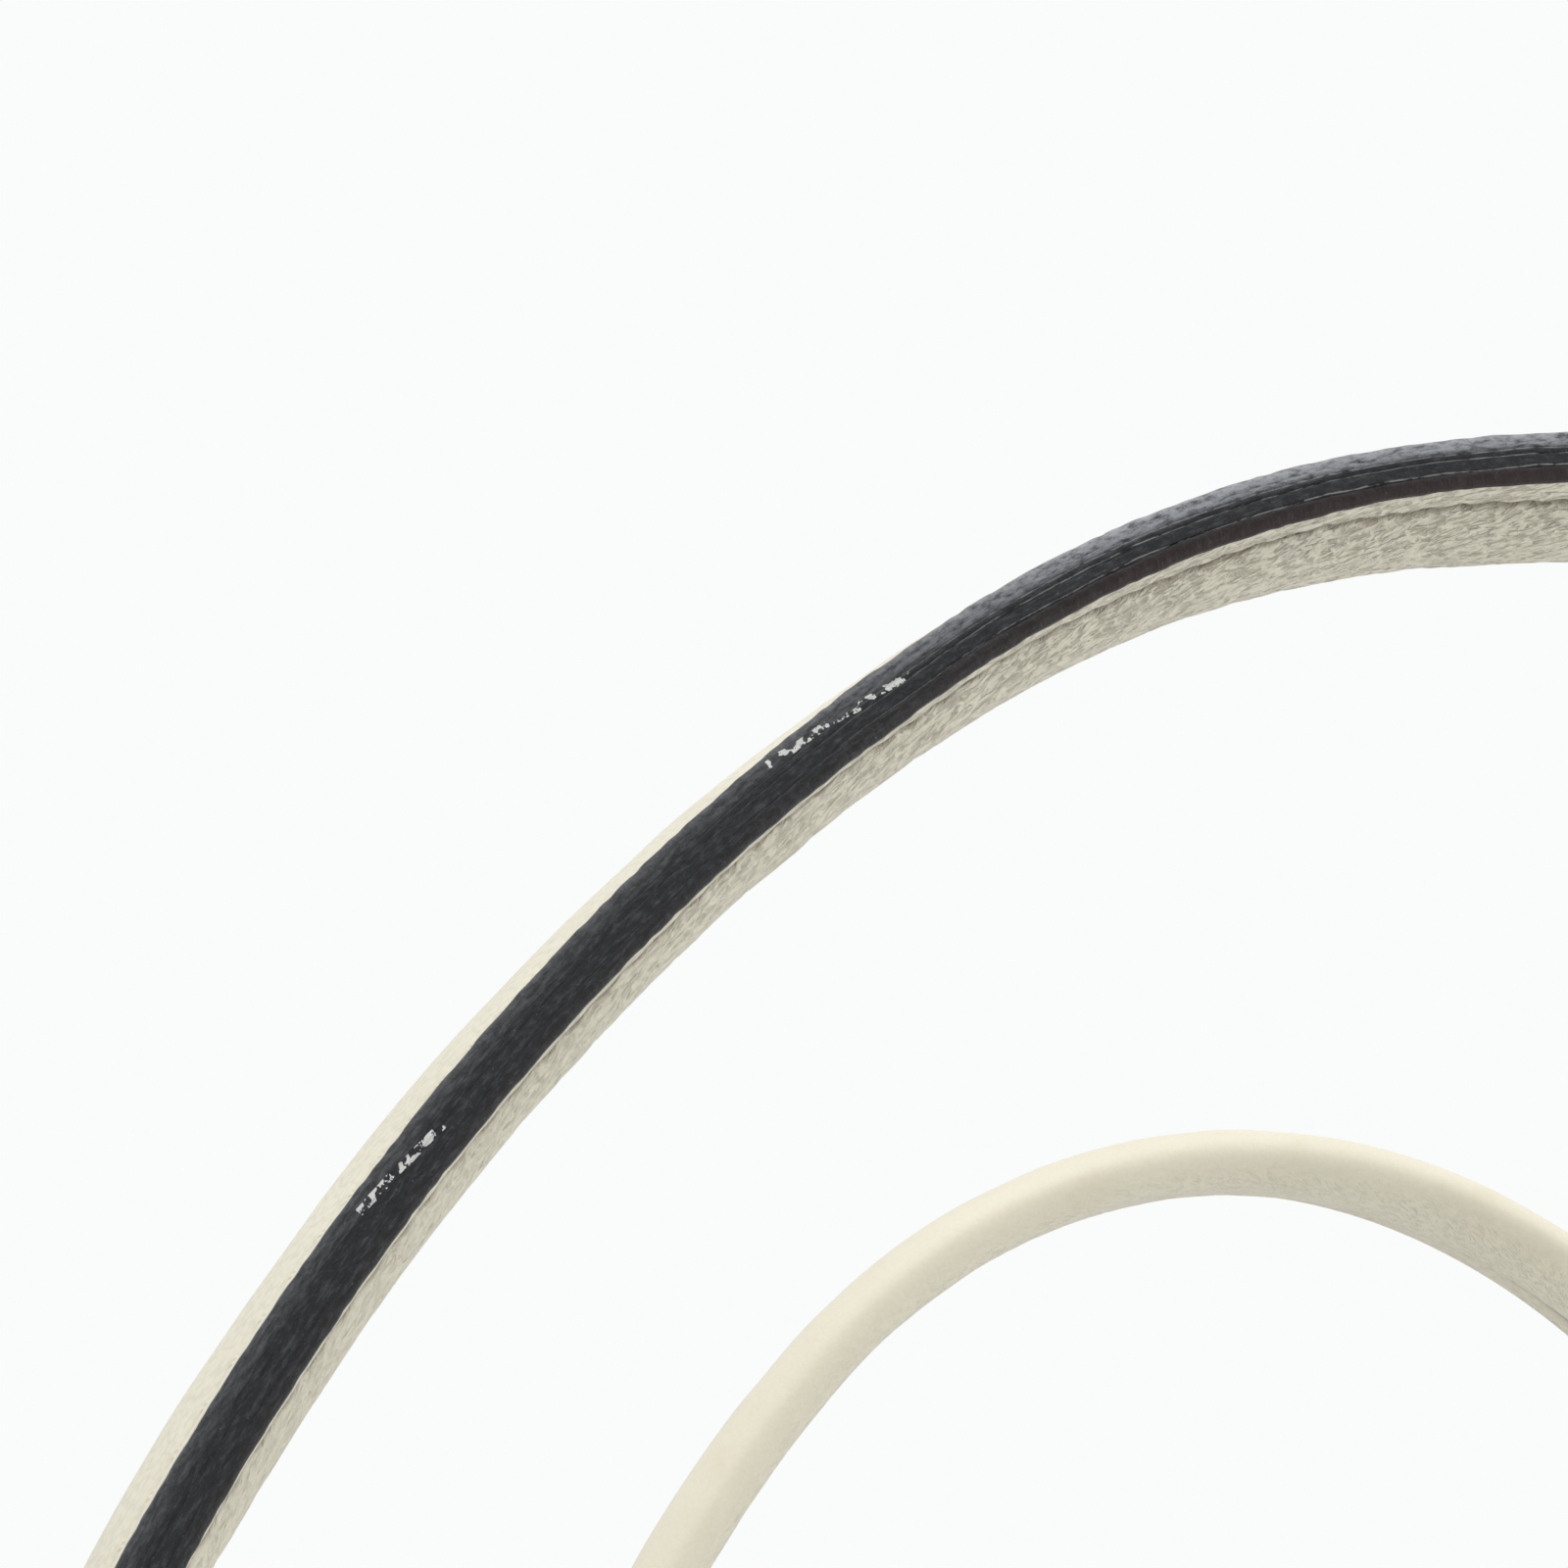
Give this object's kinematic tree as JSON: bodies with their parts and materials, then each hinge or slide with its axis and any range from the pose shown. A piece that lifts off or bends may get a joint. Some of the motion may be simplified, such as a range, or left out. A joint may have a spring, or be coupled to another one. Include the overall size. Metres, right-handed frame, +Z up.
{
  "type": "pair of bag handles",
  "caption": "Rolled leather carrying handles in two arches, padded, with a black lacquered seam edge, riveted end tabs, linked metal rings and anchor tabs for a bag wall.",
  "frame": {"origin": "midway between the four anchors, on the level of their lower edges", "axes": "+Z up to the crowns of the arches, +X to the right along them, -Y towards the front handle, whose lacquered edge faces -Y"},
  "size_m": [0.3762, 0.178, 0.257],
  "materials": {
    "handle_leather": "pebbled, satin",
    "tab_leather": "smooth, satin",
    "padding": "matt",
    "seam_ply": "raw",
    "edge_lacquer": "worn satin lacquer",
    "seam_thread": "waxed",
    "bright_metal": "polished nickel",
    "plate_steel": "plain"
  },
  "bodies": {
    "anchors": {"front_left_anchor": "tab_leather", "front_left_backing_plate": "plate_steel", "front_left_anchor_rivet_1": "bright_metal", "front_left_anchor_rivet_2": "bright_metal", "front_right_anchor": "tab_leather", "front_right_backing_plate": "plate_steel", "front_right_anchor_rivet_1": "bright_metal", "front_right_anchor_rivet_2": "bright_metal", "rear_left_anchor": "tab_leather", "rear_left_backing_plate": "plate_steel", "rear_left_anchor_rivet_1": "bright_metal", "rear_left_anchor_rivet_2": "bright_metal", "rear_right_anchor": "tab_leather", "rear_right_backing_plate": "plate_steel", "rear_right_anchor_rivet_1": "bright_metal", "rear_right_anchor_rivet_2": "bright_metal"},
    "front_left_dee_ring_body": {"front_left_dee_ring": "bright_metal"},
    "front_right_dee_ring_body": {"front_right_dee_ring": "bright_metal"},
    "front_handle": {"front_leather_wrap": "handle_leather", "front_core": "padding", "front_ply_upper": "seam_ply", "front_ply_lower": "seam_ply", "front_edge_lacquer": "edge_lacquer", "front_thread_outer": "seam_thread", "front_thread_inner": "seam_thread", "front_left_end_tab": "tab_leather", "front_left_tab_rivet_1": "bright_metal", "front_left_tab_rivet_2": "bright_metal", "front_left_link": "bright_metal", "front_right_end_tab": "tab_leather", "front_right_tab_rivet_1": "bright_metal", "front_right_tab_rivet_2": "bright_metal", "front_right_link": "bright_metal"},
    "rear_left_dee_ring_body": {"rear_left_dee_ring": "bright_metal"},
    "rear_right_dee_ring_body": {"rear_right_dee_ring": "bright_metal"},
    "rear_handle": {"rear_leather_wrap": "handle_leather", "rear_core": "padding", "rear_ply_upper": "seam_ply", "rear_ply_lower": "seam_ply", "rear_edge_lacquer": "edge_lacquer", "rear_thread_outer": "seam_thread", "rear_thread_inner": "seam_thread", "rear_left_end_tab": "tab_leather", "rear_left_tab_rivet_1": "bright_metal", "rear_left_tab_rivet_2": "bright_metal", "rear_left_link": "bright_metal", "rear_right_end_tab": "tab_leather", "rear_right_tab_rivet_1": "bright_metal", "rear_right_tab_rivet_2": "bright_metal", "rear_right_link": "bright_metal"}
  },
  "joints": [
    {"name": "front_left_dee_swing", "type": "hinge", "parent": "anchors", "child": "front_left_dee_ring_body", "pos_m": [-0.17511, -0.077, 0.041], "axis": [1, 0, 0], "range_deg": [-10, 60]},
    {"name": "front_right_dee_swing", "type": "hinge", "parent": "anchors", "child": "front_right_dee_ring_body", "pos_m": [0.17511, -0.077, 0.041], "axis": [1, 0, 0], "range_deg": [-10, 60]},
    {"name": "front_handle_swing", "type": "hinge", "parent": "front_left_dee_ring_body", "child": "front_handle", "pos_m": [-0.17511, -0.077, 0.0595], "axis": [1, 0, 0], "range_deg": [-10, 40]},
    {"name": "rear_left_dee_swing", "type": "hinge", "parent": "anchors", "child": "rear_left_dee_ring_body", "pos_m": [-0.10692, 0.077, 0.041], "axis": [-1, 0, 0], "range_deg": [-10, 60]},
    {"name": "rear_right_dee_swing", "type": "hinge", "parent": "anchors", "child": "rear_right_dee_ring_body", "pos_m": [0.10692, 0.077, 0.041], "axis": [-1, 0, 0], "range_deg": [-10, 60]},
    {"name": "rear_handle_swing", "type": "hinge", "parent": "rear_left_dee_ring_body", "child": "rear_handle", "pos_m": [-0.10692, 0.077, 0.0595], "axis": [-1, 0, 0], "range_deg": [-10, 40]}
  ],
  "couplings": [
    {"joint": "front_right_dee_swing", "follows": "front_left_dee_swing", "ratio": 1},
    {"joint": "rear_right_dee_swing", "follows": "rear_left_dee_swing", "ratio": 1}
  ]
}
